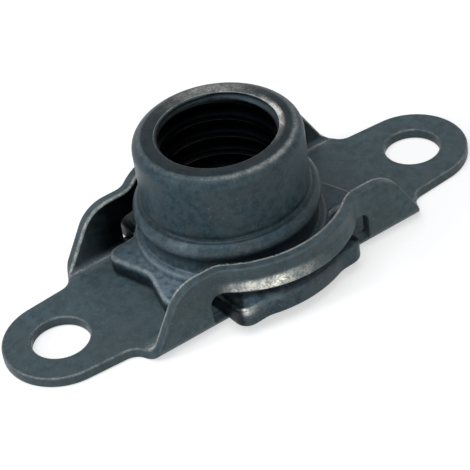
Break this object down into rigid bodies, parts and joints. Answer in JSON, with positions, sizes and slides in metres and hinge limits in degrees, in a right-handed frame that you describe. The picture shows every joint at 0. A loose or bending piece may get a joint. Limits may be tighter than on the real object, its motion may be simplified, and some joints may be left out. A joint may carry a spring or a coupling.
{
  "type": "floating anchor nut",
  "caption": "Floating anchor nut: a pressed sheet-steel cage with rivet lugs and folded walls that hold a loose, threaded barrel nut by its ears over a blind panel hole.",
  "frame": {"origin": "middle of the riveted face, halfway between the two rivet holes", "axes": "+X along the lugs, +Z along the screw's axis, away from the riveted face; +Y across the cage"},
  "size_m": [0.0322, 0.0147, 0.009],
  "materials": {
    "cage_steel": "dark phosphated and oiled sheet steel, satin",
    "nut_steel": "dark phosphated and oiled steel, satin, a little brighter on worn edges"
  },
  "bodies": {
    "cage": {"cage": "cage_steel"},
    "nut": {"nut": "nut_steel"}
  },
  "joints": [
    {"name": "nut_float", "type": "slide", "parent": "cage", "child": "nut", "axis": [1, 0, 0], "range_m": [-0.00005, 0.0011]}
  ]
}
